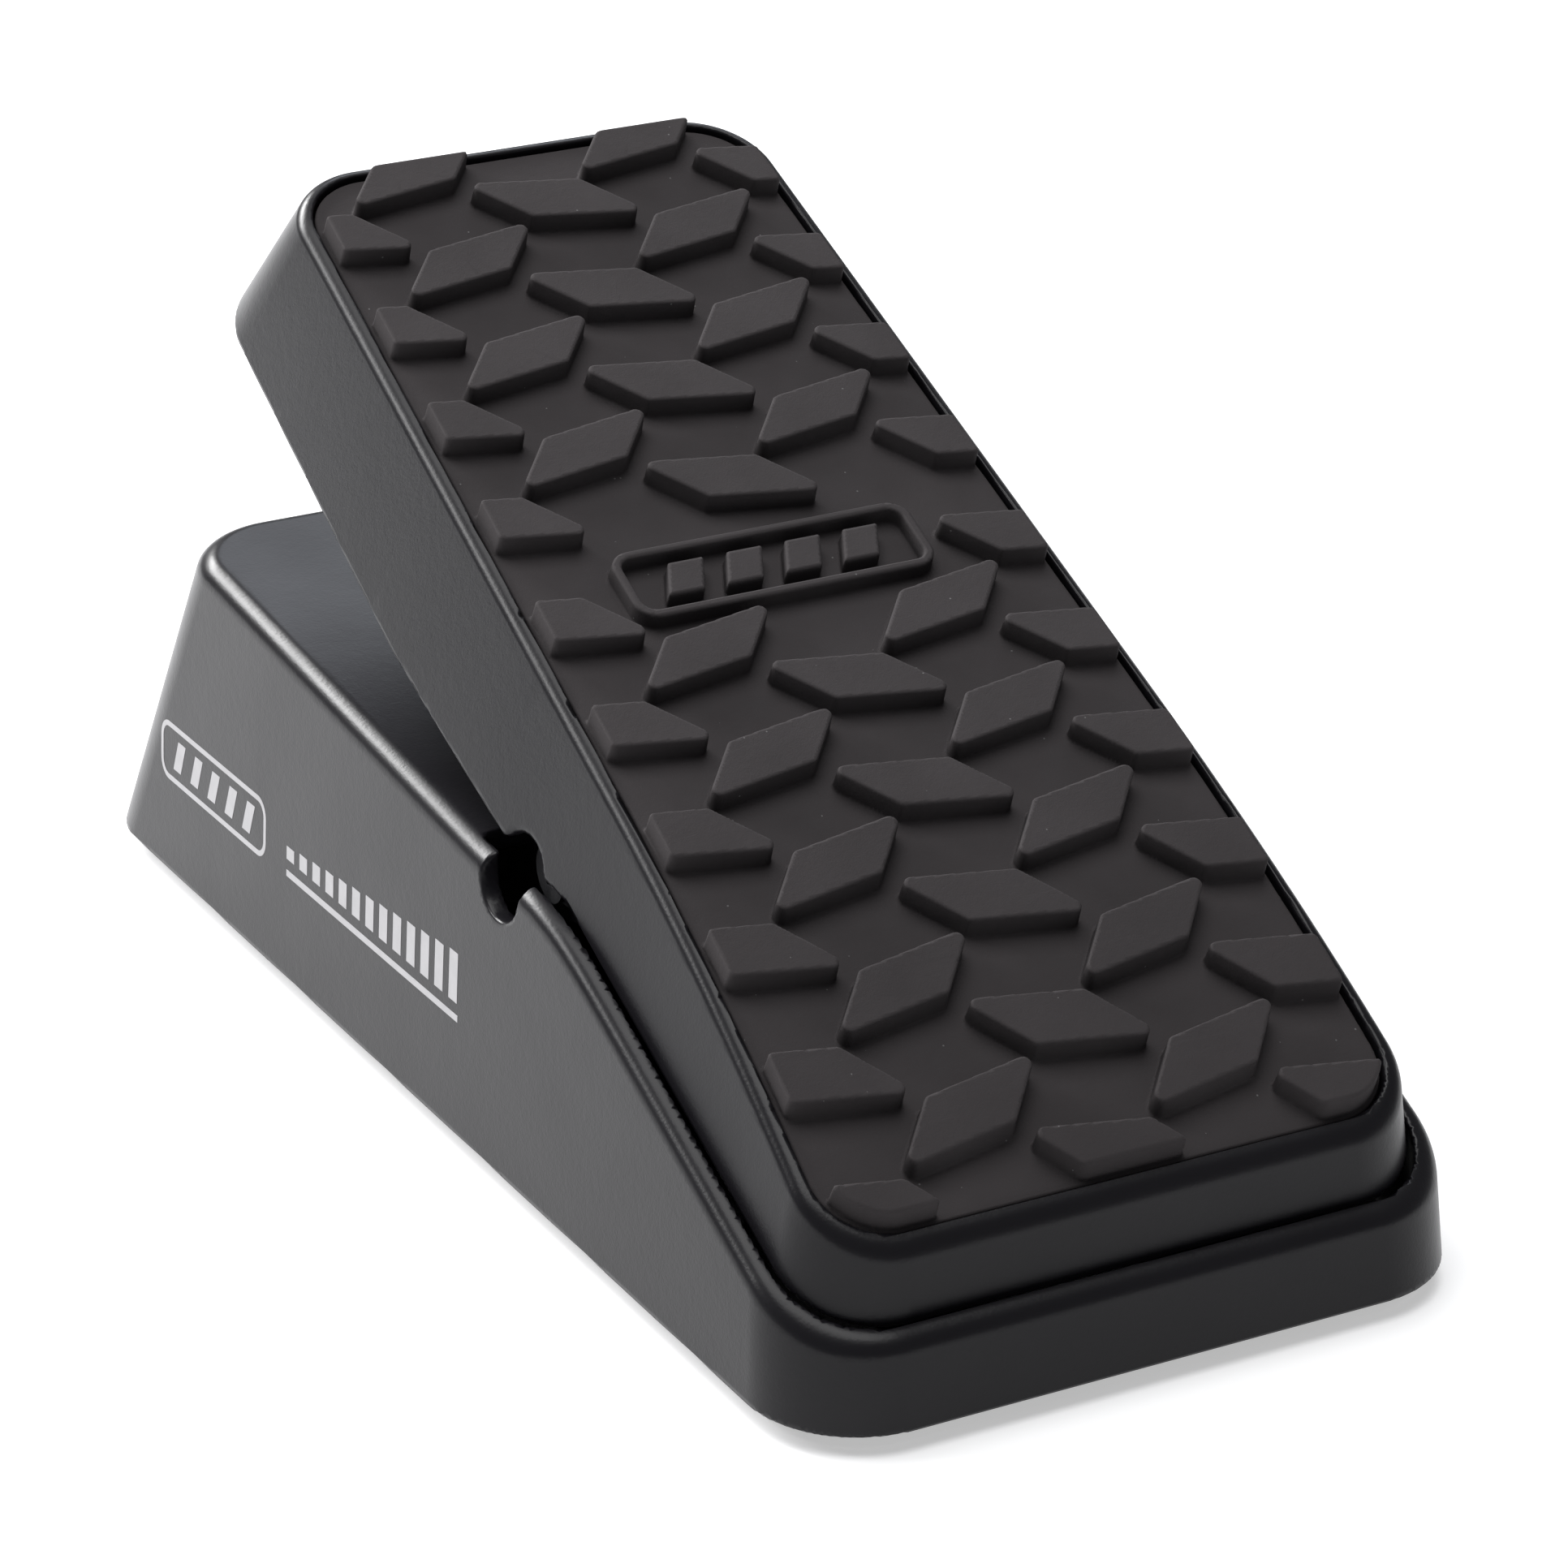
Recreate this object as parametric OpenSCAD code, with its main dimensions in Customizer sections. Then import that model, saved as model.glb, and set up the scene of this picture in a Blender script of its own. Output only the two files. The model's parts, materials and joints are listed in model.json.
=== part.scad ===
// Volume pedal. Millimetres, +Z up, heel at -Y, toe at +Y.
// The treadle is drawn heel down, which is its rest pose.

/* [Base] */

// Length of the base
base_len = 203; // [180:1:240]
// Half width of the base at the heel
heel_half = 45.3; // [42:0.1:50]
// Half width of the base at the toe
toe_half = 49.3; // [44:0.1:54]
// Corner radius of the base
corner_r = 14; // [10:0.5:18]
// Height of the rubber feet
foot_h = 2.5; // [2:0.5:5]
// Height of the deck above the casting's bottom edge, at mid length
deck_mid = 41.1; // [38:0.1:46]
// Rise of the deck per millimetre towards the toe
deck_rise = 0.108; // [0.08:0.002:0.14]
// Rake of the toe face, millimetres back per millimetre up
toe_rake = 0.56; // [0.2:0.01:0.6]
// Casting wall thickness
wall = 2.6; // [2:0.1:3]

/* [Treadle] */

// Pivot distance behind the middle of the base
axle_back = 24; // [15:0.5:35]
// Pivot height above the casting's bottom edge
axle_up = 38; // [34:0.5:42]
// Tilt of the treadle at rest
tilt = 23.5; // [20:0.5:26]
// Pivot to toe lip
toe_reach = 106.4; // [90:0.2:110]
// Pivot to heel lip
heel_reach = 73; // [65:0.5:76]
// Height of the lip above the pivot line
lip_n = 19; // [17:0.5:22]
// Radius of the rolled-down heel half
heel_roll = 387.7; // [300:1:600]
// Half width of the lip at the toe
tread_toe_half = 33.4; // [30:0.1:36]
// Half width of the lip at the heel
tread_heel_half = 38.4; // [34:0.1:40]
// Height of the mat's blocks
block_h = 3; // [2:0.1:4]
// Row pitch of the blocks
row_pitch = 18.02; // [16:0.02:20]
// Column pitch of the blocks
col_pitch = 15.99; // [14:0.01:18]

/* [Drive] */

// Radius of the drive sector
sector_r = 44; // [40:0.5:46]
// Radius of the drum
drum_r = 4.4; // [4:0.1:6]
// Angle of the drum below the horizontal, seen from the pivot
drum_dip = 27; // [22:1:30]
// Radius of the pivot axle
axle_r = 3; // [2.5:0.1:4]

/* [Jacks] */

// Side spacing of the jacks
jack_gap = 28; // [24:1:32]
// Height of the jacks above the casting's bottom edge
jack_up = 24.5; // [20:0.5:30]
// Bore radius of a jack
jack_bore_r = 3.25; // [3.2:0.01:3.4]

/* [Hidden] */

hl = base_len / 2;
ax_y = -axle_back;
ax_z = foot_h + axle_up;
side_draft = 0.06;
heel_draft = 0.12;
top_z = 55;
open_y = -13;
deck_t = 3;
roll_n = lip_n - heel_roll;
roll_v = -5;
skirt_t = 2.5;
mat_top = lip_n - 0.7;
mat_low = lip_n - 2.5;
tray_low = lip_n - 5;
drum_y = ax_y + (sector_r + drum_r + 1.0) * cos(drum_dip);
drum_z = ax_z - (sector_r + drum_r + 1.0) * sin(drum_dip);
rake_a = atan(toe_rake);
jack_y = hl - toe_rake * jack_up;
plate_t = 1.5;
plate_top = foot_h + plate_t;
boss_xy = [[-38.8, -66], [38.8, -66], [-40.6, 4], [40.6, 4], [-41.6, 66], [41.6, 66]];
board_xy = [[-26, 37], [26, 37], [-26, 59], [26, 59]];
bracket_y = [14, 26];
jack_x = [-jack_gap, 0, jack_gap];
black = [0.07, 0.07, 0.075];
rubber = [0.05, 0.05, 0.05];
steel = [0.62, 0.62, 0.64];

// ---- shared shapes ----

// Solid between the raked, drafted walls; inset makes the inner one.
module base_block(inset, z0) {
    hull() {
        for (s = [-1, 1]) {
            translate([s * (heel_half - corner_r), -hl + corner_r, z0])
                cylinder(r = corner_r - inset, h = 0.1, $fn = 48);
            translate([s * (toe_half - corner_r), hl - corner_r, z0])
                cylinder(r = corner_r - inset, h = 0.1, $fn = 48);
            translate([s * (heel_half - side_draft * (top_z - foot_h) - 12),
                -hl + heel_draft * (top_z - foot_h) + 12, top_z])
                cylinder(r = 12 - inset, h = 0.1, $fn = 48);
            translate([s * (toe_half - side_draft * (top_z - foot_h) - 12),
                hl - toe_rake * (top_z - foot_h) - 12, top_z])
                cylinder(r = 12 - inset, h = 0.1, $fn = 48);
        }
    }
}

// Side view, Y across and Z up, pushed along X.
module along_x(w) {
    rotate([90, 0, 90])
        linear_extrude(height = w, center = true)
            children();
}

function deck_z(y) = foot_h + deck_mid + deck_rise * y;

// Top line of the side walls.
module wall_outline() {
    polygon([[-120, foot_h], [120, foot_h], [120, deck_z(120)], [-15, deck_z(-15)],
        [-22, foot_h + 38.9], [-28, foot_h + 38.7], [-33, foot_h + 38.1], [-38, foot_h + 36.9],
        [-44, foot_h + 34.7], [-52, foot_h + 31.3], [-89, foot_h + 15.1], [-94.5, foot_h + 12.6],
        [-98, foot_h + 11.4], [-120, foot_h + 11.4]]);
}

// Everything in the treadle's own frame: Y along it, Z off it, pivot at the origin.
module on_treadle() {
    translate([0, ax_y, ax_z])
        rotate([tilt, 0, 0])
            children();
}

// Side profile of the treadle up to height n, rolled down towards the heel.
module treadle_side(n) {
    intersection() {
        union() {
            translate([roll_v, n - 60])
                square([200, 60]);
            translate([roll_v, roll_n])
                circle(r = n - roll_n, $fn = 360);
        }
        translate([-150, n - 60])
            square([300, 60]);
    }
}

// Half width of the lip at v.
function lip_half(v) = tread_heel_half - (tread_heel_half - tread_toe_half)
    * (v + heel_reach - 11.6) / (toe_reach + heel_reach - 22.6);

// One pair of tapered corner posts: lip centre and radius, then foot centre and radius.
module treadle_corners(x0, v0, r0, x1, v1, r1) {
    for (s = [-1, 1]) {
        translate([s * x0, v0, lip_n])
            cylinder(r = r0, h = 0.1, $fn = 48);
        translate([s * x1, v1, -6])
            cylinder(r = r1, h = 0.1, $fn = 48);
    }
}

// Treadle outline standing on the pivot line; inset makes the inner one.
module treadle_block(inset) {
    hull() {
        treadle_corners(tread_toe_half - 11, toe_reach - 11, 11 - inset,
            24.8, toe_reach - 8, 15 - inset);
        treadle_corners(lip_half(8) - 10.4, 8, 10.4 - inset, 29, 8, 15 - inset);
    }
    hull() {
        treadle_corners(lip_half(8) - 10.4, 8, 10.4 - inset, 29, 8, 15 - inset);
        treadle_corners(lip_half(-29) - 10.2, -29, 10.2 - inset, 29.5, -29, 14 - inset);
    }
    hull() {
        treadle_corners(lip_half(-29) - 10.2, -29, 10.2 - inset, 29.5, -29, 14 - inset);
        treadle_corners(tread_heel_half - 10, -heel_reach + 11.6, 10 - inset,
            30.5, -heel_reach + 3.6, 12.6 - inset);
    }
}

// Plan outline of the tray's recess, drawn back by an inset.
module tray_outline(inset) {
    hull() {
        for (s = [-1, 1]) {
            translate([s * (tread_toe_half - 11), toe_reach - 11])
                circle(r = 9.4 - inset, $fn = 48);
            translate([s * (tread_heel_half - 9.4), -heel_reach + 10])
                circle(r = 8.4 - inset, $fn = 48);
        }
    }
}

// Side view of everything above the skirt's lower edge.
module skirt_line() {
    polygon([[-120, 4], [-14, 4], [-9, 4.2], [-5, 3.4], [4, 0.8], [8, 0.5], [41.5, -2],
        [130, -2], [130, 60], [-120, 60]]);
}

module screw_x(r, len) {
    rotate([0, 90, 0])
        cylinder(r = r, h = len, $fn = 32);
}

// ---- base ----

module base_casting() {
    color(black)
    difference() {
        union() {
            difference() {
                intersection() {
                    base_block(0, foot_h);
                    along_x(140)
                        wall_outline();
                }
                intersection() {
                    base_block(wall, foot_h - 0.2);
                    along_x(140)
                        polygon([[-120, 0], [120, 0], [120, deck_z(120) - deck_t],
                            [open_y, deck_z(open_y) - deck_t], [open_y, 80], [-120, 80]]);
                }
                for (s = [-1, 1])
                    translate([s * 46, ax_y + 1.4, ax_z - 0.4])
                        rotate([0, 90, 0])
                            cylinder(r = 4.8, h = 11, center = true, $fn = 48);
            }
            intersection() {
                union() {
                    pivot_ears();
                    plate_bosses();
                    deck_bosses();
                }
                base_block(0.6, foot_h);
            }
        }
        for (s = [-1, 1])
            translate([s * 33, ax_y, ax_z])
                rotate([0, 90, 0])
                    cylinder(r = 4.53, h = 8, center = true, $fn = 48);
        for (p = boss_xy)
            translate([p[0], p[1], foot_h])
                cylinder(r = 1.5, h = 10, $fn = 32);
        for (p = board_xy)
            translate([p[0], p[1], 37])
                cylinder(r = 1.3, h = 6, $fn = 32);
        for (y = bracket_y)
            translate([18, y, 36])
                cylinder(r = 1.5, h = 6, $fn = 32);
        for (x = jack_x)
            jack_frame(x)
                cylinder(r = 4.9, h = 12, center = true, $fn = 48);
    }
}

// Ears that hang from the deck's front edge and carry the bushes.
module pivot_ears() {
    for (s = [-1, 1])
        translate([s * 33, 0, 0])
            along_x(4)
                union() {
                    translate([ax_y, ax_z])
                        circle(r = 7.5, $fn = 48);
                    polygon([[ax_y, ax_z - 7.5], [8, ax_z - 16], [14, ax_z - 12],
                        [14, deck_z(14) - 1], [open_y + 1, deck_z(open_y) - 1],
                        [ax_y + 6, ax_z + 3], [ax_y, ax_z + 6]]);
                }
}

module plate_bosses() {
    for (p = boss_xy)
        translate([p[0], p[1], plate_top])
            cylinder(r = 4.4, h = 10.5, $fn = 48);
}

module deck_bosses() {
    for (p = board_xy)
        translate([p[0], p[1], 37.6])
            cylinder(r = 3, h = deck_z(p[1]) - 1 - 37.6, $fn = 32);
    for (y = bracket_y)
        translate([18, y, 37])
            cylinder(r = 4, h = deck_z(y) - 1 - 37, $fn = 32);
}

module bottom_plate() {
    color(steel)
    difference() {
        translate([0, 0, foot_h])
            linear_extrude(height = plate_t)
                hull()
                    for (s = [-1, 1]) {
                        translate([s * (heel_half - corner_r), -hl + corner_r])
                            circle(r = corner_r - wall - 0.45, $fn = 48);
                        translate([s * (toe_half - corner_r), hl - corner_r - 1.2])
                            circle(r = corner_r - wall - 0.45, $fn = 48);
                    }
        for (p = boss_xy) {
            translate([p[0], p[1], foot_h - 0.1])
                cylinder(r = 1.7, h = 3, $fn = 32);
            translate([p[0], p[1], foot_h - 0.01])
                cylinder(r1 = 3.05, r2 = 1.65, h = 1.3, $fn = 48);
        }
    }
}

module plate_screws() {
    color(steel)
    for (p = boss_xy)
        translate([p[0], p[1], foot_h])
            difference() {
                union() {
                    cylinder(r1 = 2.9, r2 = 1.45, h = 1.3, $fn = 48);
                    cylinder(r = 1.45, h = 8.5, $fn = 32);
                }
                for (a = [0, 90])
                    rotate([0, 0, a])
                        cube([3, 0.6, 1.6], center = true);
            }
}

module rubber_feet() {
    color(rubber)
    for (p = [[-31, -80], [31, -80], [-34, 82], [34, 82]])
        translate([p[0], p[1], 0])
            difference() {
                union() {
                    cylinder(r1 = 7.2, r2 = 8, h = 0.8, $fn = 48);
                    translate([0, 0, 0.8])
                        cylinder(r = 8, h = foot_h - 0.85, $fn = 48);
                }
                translate([0, 0, -0.1])
                    cylinder(r = 2, h = 1.3, $fn = 48);
            }
}

module pivot_bushes() {
    color([0.12, 0.12, 0.12])
    for (s = [-1, 1])
        translate([s * 35, ax_y, ax_z])
            rotate([0, -90 * s, 0])
                difference() {
                    union() {
                        cylinder(r = 4.5, h = 4.05, $fn = 48);
                        translate([0, 0, 4.05])
                            cylinder(r = 6.2, h = 1, $fn = 48);
                    }
                    translate([0, 0, -1])
                        cylinder(r = axle_r + 0.05, h = 8, $fn = 48);
                }
}

module heel_bumpers() {
    color(rubber)
    for (s = [-1, 1])
        translate([s * 20, -77.5, plate_top + 0.05])
            difference() {
                union() {
                    cylinder(r = 6, h = 4, $fn = 48);
                    translate([0, 0, 4])
                        cylinder(r1 = 6, r2 = 4.6, h = 3.2, $fn = 48);
                }
                translate([0, 0, -0.1])
                    cylinder(r = 2, h = 3, $fn = 32);
            }
}

// ---- jacks on the toe face ----

// Frame with +Z along the toe face's outward normal, at its outer surface.
module jack_frame(x) {
    translate([x, jack_y, foot_h + jack_up])
        rotate([-90 + rake_a, 0, 0])
            children();
}

module one_jack(x) {
    jack_frame(x)
        difference() {
            union() {
                translate([0, 0, -24.4])
                    cylinder(r = 7.4, h = 22, $fn = 48);
                translate([0, 0, -3])
                    cylinder(r = 4.7, h = 8, $fn = 48);
                translate([0, 0, -26.4])
                    cylinder(r = 5, h = 2.2, $fn = 48);
                for (s = [-1, 1])
                    translate([s * 3.2, 0, -28])
                        cube([1, 2.4, 3.4], center = true);
            }
            translate([0, 0, -20])
                cylinder(r = jack_bore_r, h = 30, $fn = 64);
        }
}

module input_jack() {
    color([0.1, 0.1, 0.11])
        one_jack(jack_gap);
}

module output_jack() {
    color([0.1, 0.1, 0.11])
        one_jack(-jack_gap);
}

module aux_jack() {
    color([0.1, 0.1, 0.11])
        one_jack(0);
}

module jack_nuts() {
    color(steel)
    for (x = jack_x)
        jack_frame(x)
            translate([0, 0, 1.0])
                difference() {
                    intersection() {
                        cylinder(r = 7.2, h = 2.6, $fn = 6);
                        cylinder(r1 = 10.7, r2 = 6.3, h = 2.6, $fn = 48);
                    }
                    translate([0, 0, -1])
                        cylinder(r = 4.78, h = 6, $fn = 48);
                }
}

module jack_washers() {
    color(steel)
    for (x = jack_x)
        jack_frame(x)
            translate([0, 0, 0.05])
                difference() {
                    cylinder(r = 7.6, h = 0.85, $fn = 48);
                    translate([0, 0, -1])
                        cylinder(r = 4.9, h = 4, $fn = 48);
                }
}

// ---- electrics ----

module circuit_board() {
    color([0.08, 0.25, 0.12])
    difference() {
        translate([-30, 33, 35.95])
            cube([60, 30, 1.6]);
        for (p = board_xy)
            translate([p[0], p[1], 30])
                cylinder(r = 1.6, h = 12, $fn = 32);
        translate([0, 33, 36])
            cylinder(r = 3, h = 6, center = true, $fn = 48);
    }
}

module board_parts() {
    color([0.15, 0.15, 0.16]) {
        translate([-18, 48, 33.9])
            cube([10, 6, 4], center = true);
        for (x = [-4, 4, 12])
            translate([x, 52, 29])
                cylinder(r = 2.6, h = 6.9, $fn = 32);
        for (x = [-12, -6, 6, 14])
            translate([x, 40, 34.9])
                cube([2.2, 5, 2], center = true);
        translate([20, 48, 33.4])
            cube([5, 12, 5], center = true);
    }
}

module board_screws() {
    color(steel)
    for (p = board_xy)
        translate([p[0], p[1], 34.3])
            difference() {
                union() {
                    cylinder(r = 2.5, h = 1.6, $fn = 32);
                    cylinder(r = 1.25, h = 7.5, $fn = 32);
                }
                for (a = [0, 90])
                    rotate([0, 0, a])
                        cube([3, 0.6, 1.2], center = true);
            }
}

module pot_bracket() {
    color(steel)
    difference() {
        union() {
            translate([9, drum_y - 11, 6.5])
                cube([2, 22, 30.4]);
            translate([9, drum_y - 11, 35.4])
                cube([16, 22, 1.5]);
        }
        translate([8, drum_y, drum_z])
            screw_x(4.85, 5);
        for (y = bracket_y)
            translate([18, y, 30])
                cylinder(r = 1.7, h = 12, $fn = 32);
    }
}

module bracket_screws() {
    color(steel)
    for (y = bracket_y)
        translate([18, y, 33.5])
            difference() {
                union() {
                    cylinder(r = 2.9, h = 1.8, $fn = 32);
                    cylinder(r = 1.45, h = 7.8, $fn = 32);
                }
                for (a = [0, 90])
                    rotate([0, 0, a])
                        cube([3.4, 0.7, 1.4], center = true);
            }
}

module pot_body() {
    color([0.55, 0.55, 0.5])
    translate([0, drum_y, drum_z])
        difference() {
            union() {
                translate([11.1, 0, 0])
                    screw_x(11.5, 9);
                translate([20, 0, 0])
                    screw_x(10.6, 2);
                translate([4.6, 0, 0])
                    screw_x(4.7, 7);
                for (a = [-1, 0, 1])
                    translate([11.6, a * 5 - 0.9, -16.2 + 3.2])
                        cube([0.8, 1.8, 4]);
            }
            translate([3, 0, 0])
                screw_x(axle_r + 0.05, 15);
        }
}

module pot_nut() {
    color(steel)
    translate([5.4, drum_y, drum_z])
        difference() {
            rotate([0, 90, 0])
                intersection() {
                    cylinder(r = 6.9, h = 2.6, $fn = 6);
                    cylinder(r1 = 6, r2 = 10.4, h = 2.6, $fn = 48);
                }
            translate([-1, 0, 0])
                screw_x(4.78, 6);
        }
}

module pot_washer() {
    color(steel)
    translate([8.1, drum_y, drum_z])
        difference() {
            screw_x(6.6, 0.8);
            translate([-1, 0, 0])
                screw_x(4.9, 4);
        }
}

// One run of wire between two points.
module wire_run(a, b) {
    d = b - a;
    l = norm(d);
    translate(a)
        rotate([0, acos(d[2] / l), atan2(d[1], d[0])])
            cylinder(r = 0.7, h = l, $fn = 24);
}

module wire(p) {
    for (i = [0 : len(p) - 2])
        wire_run(p[i], p[i + 1]);
    for (i = [1 : len(p) - 2])
        translate(p[i])
            sphere(r = 0.85, $fn = 24);
}

module wiring() {
    color([0.5, 0.08, 0.06]) {
        for (x = jack_x)
            wire([[x + 3.2, 60.5, 14.4], [x + 3.2, 58.2, 22], [x * 0.8 + 1, 55.5, 35.6]]);
        wire([[13.5, drum_y + 9.5, 6.2], [27, 36, 12], [25, 42, 35.6]]);
    }
}

// ---- treadle ----

module treadle_casting() {
    color(black)
    on_treadle()
        difference() {
            union() {
                difference() {
                    intersection() {
                        treadle_block(0);
                        along_x(120)
                            treadle_side(lip_n);
                        along_x(140)
                            skirt_line();
                    }
                    intersection() {
                        treadle_block(skirt_t);
                        along_x(120)
                            treadle_side(tray_low);
                        translate([-70, -120, -10])
                            cube([140, 300, 60]);
                    }
                    intersection() {
                        linear_extrude(height = 40)
                            tray_outline(0);
                        along_x(120)
                            difference() {
                                translate([-150, -40])
                                    square([300, 100]);
                                treadle_side(mat_low);
                            }
                    }
                    for (s = [-1, 1])
                        translate([s * 40, 1.2, -0.9])
                            rotate([0, 90, 0])
                                cylinder(r = 5.2, h = 10, center = true, $fn = 48);
                }
                treadle_ears();
                treadle_posts();
            }
            rotate([0, 90, 0])
                cylinder(r = axle_r + 0.02, h = 62, center = true, $fn = 48);
            for (x = [-6, 6])
                translate([x, -1, 8])
                    cylinder(r = 1.3, h = 7, $fn = 32);
        }
}

module treadle_ears() {
    for (s = [-1, 1])
        translate([s * 27.5, 0, 0])
            along_x(4)
                union() {
                    circle(r = 6.5, $fn = 48);
                    translate([-6.5, 0])
                        square([13, tray_low + 0.6]);
                }
}

// Posts that carry the toe pads and land on the heel bumpers.
module treadle_posts() {
    for (s = [-1, 1]) {
        translate([s * 18, 85, 2.5])
            cylinder(r = 4, h = tray_low + 0.6 - 2.5, $fn = 32);
        translate([s * 20, -60, -3.6])
            cylinder(r = 4, h = 15.5, $fn = 32);
        translate([s * 6, -1, 11])
            cylinder(r = 3.2, h = tray_low - 10.4, $fn = 32);
    }
}

// One block, long corners cut short; m mirrors it for the odd columns.
module block_shape(m) {
    polygon([[m * 10.6, -4.6], [m * 4.4, 2.55 + 0.25], [m * -10.2, 5.35], [m * -10.6, 4.6],
        [m * -4.4, -2.55 - 0.25], [m * 10.2, -5.35]]);
}

module block_plan() {
    for (r = [1 : 10])
        translate([0, toe_reach + 4.26 - row_pitch * r]) {
            if (r != 5)
                block_shape(1);
            translate([2 * col_pitch, 0])
                block_shape(1);
            translate([-2 * col_pitch, 0])
                block_shape(1);
        }
    for (r = [0 : 9])
        if (r != 4)
            for (s = [-1, 1])
                translate([s * col_pitch, toe_reach - 4.54 - row_pitch * r])
                    block_shape(-1);
}

module round_rect(w, h, r) {
    square([w - 2 * r, h], center = true);
    square([w, h - 2 * r], center = true);
    for (a = [-1, 1])
        for (b = [-1, 1])
            translate([a * (w / 2 - r), b * (h / 2 - r)])
                circle(r = r, $fn = 48);
}

// Plain frame with four slanted bars, in the gap between the blocks.
module badge_plan() {
    translate([-1, toe_reach - 82.2]) {
        difference() {
            round_rect(41, 11.4, 3);
            round_rect(38.6, 9, 1.8);
        }
        for (x = [-12, -4, 4, 12])
            translate([x, 0])
                polygon([[-3.4, -2.6], [1.4, -2.6], [3.4, 2.6], [-1.4, 2.6]]);
    }
}

module tread_mat() {
    color(rubber)
    on_treadle() {
        intersection() {
            linear_extrude(height = 60)
                tray_outline(0.25);
            along_x(120)
                difference() {
                    treadle_side(mat_top);
                    treadle_side(mat_low + 0.05);
                }
        }
        intersection() {
            linear_extrude(height = 60)
                intersection() {
                    tray_outline(0.7);
                    block_plan();
                }
            along_x(120)
                difference() {
                    treadle_side(mat_top + block_h);
                    treadle_side(mat_top - 0.3);
                }
        }
        translate([0, 0, mat_low + 0.5])
            linear_extrude(height = mat_top + 1.9 - mat_low)
                badge_plan();
    }
}

module pivot_axle() {
    color(steel)
    on_treadle()
        difference() {
            rotate([0, 90, 0])
                cylinder(r = axle_r, h = 74, center = true, $fn = 48);
            translate([-38, 0, 0])
                screw_x(1.5, 13);
            translate([35.35, 0, 0])
                difference() {
                    screw_x(4, 0.9);
                    translate([-1, 0, 0])
                        screw_x(2.4, 4);
                }
        }
}

module axle_clip() {
    color(steel)
    on_treadle()
        translate([35.4, 0, 0])
            difference() {
                screw_x(5, 0.8);
                translate([-1, 0, 0])
                    screw_x(2.45, 4);
                translate([-1, -1.9, -8])
                    cube([4, 3.8, 8]);
            }
}

module tension_washer() {
    color(steel)
    on_treadle()
        translate([-36.7, 0, 0])
            rotate([0, 90, 0])
                difference() {
                    cylinder(r1 = 4.4, r2 = 6, h = 1.5, $fn = 48);
                    translate([0, 0, -1])
                        cylinder(r = axle_r + 0.1, h = 4, $fn = 48);
                }
}

module tension_screw() {
    color(steel)
    on_treadle()
        difference() {
            union() {
                translate([-38.6, 0, 0])
                    screw_x(3.6, 1.55);
                translate([-38.6, 0, 0])
                    screw_x(1.45, 12.2);
            }
            translate([-38.8, 0, 0])
                rotate([0, 90, 0])
                    cylinder(r = 1.75, h = 1.3, $fn = 6);
        }
}

module toe_bumpers() {
    color(rubber)
    on_treadle()
        for (s = [-1, 1])
            translate([s * 18, 85, -4.65])
                union() {
                    cylinder(r1 = 4, r2 = 5, h = 1.2, $fn = 48);
                    translate([0, 0, 1.2])
                        cylinder(r = 5, h = 5.9, $fn = 48);
                }
}

// ---- drive ----

// Wedge between two angles, seen from the pivot.
module wedge(r, a, b) {
    intersection() {
        circle(r = r, $fn = 180);
        polygon([[0, 0], 2 * r * [cos(a), sin(a)], 2 * r * [cos((a + b) / 2), sin((a + b) / 2)],
            2 * r * [cos(b), sin(b)]]);
    }
}

module arc_band(r0, r1, a, b) {
    difference() {
        wedge(r1, a, b);
        circle(r = r0, $fn = 180);
    }
}

module drive_sector() {
    color([0.5, 0.5, 0.52])
    on_treadle()
        difference() {
            union() {
                along_x(3)
                    difference() {
                        union() {
                            circle(r = 8, $fn = 48);
                            wedge(sector_r - 1, -tilt - 35, -tilt - 10);
                            translate([-8, 0])
                                square([14, 10.8]);
                        }
                        rotate([0, 0, -tilt - 21])
                            translate([25, 0])
                                circle(r = 5.5, $fn = 48);
                    }
                along_x(5)
                    arc_band(sector_r - 3, sector_r, -tilt - 36, -tilt - 2);
                translate([-10, -8, 8.8])
                    cube([20, 14, 2]);
            }
            rotate([0, 90, 0])
                cylinder(r = axle_r + 0.1, h = 20, center = true, $fn = 48);
            for (x = [-6, 6])
                translate([x, -1, 5])
                    cylinder(r = 1.6, h = 10, $fn = 32);
            for (a = [-tilt - 33.5, -tilt - 4.5])
                rotate([a, 0, 0])
                    translate([0, sector_r - 5, 0])
                        rotate([-90, 0, 0])
                            cylinder(r = 0.8, h = 8, $fn = 32);
        }
}

module sector_screws() {
    color(steel)
    on_treadle()
        for (x = [-6, 6])
            translate([x, -1, 7.1])
                difference() {
                    union() {
                        cylinder(r = 2.4, h = 1.65, $fn = 32);
                        cylinder(r = 1.25, h = 7, $fn = 32);
                    }
                    for (a = [0, 90])
                        rotate([0, 0, a])
                            cube([3, 0.6, 1.2], center = true);
                }
}

module drive_band() {
    color([0.75, 0.75, 0.78])
    on_treadle()
        difference() {
            along_x(4.4)
                arc_band(sector_r + 0.05, sector_r + 0.45, -tilt - 35.8, -tilt - 2.2);
            for (a = [-tilt - 33.5, -tilt - 4.5])
                rotate([a, 0, 0])
                    translate([0, sector_r - 2, 0])
                        rotate([-90, 0, 0])
                            cylinder(r = 0.85, h = 5, $fn = 32);
        }
}

module band_screws() {
    color(steel)
    on_treadle()
        for (a = [-tilt - 33.5, -tilt - 4.5])
            rotate([a, 0, 0])
                translate([0, sector_r - 2.8, 0])
                    rotate([-90, 0, 0])
                        union() {
                            cylinder(r = 0.75, h = 3.4, $fn = 32);
                            translate([0, 0, 3.35])
                                cylinder(r = 1.25, h = 0.8, $fn = 32);
                        }
}

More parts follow.
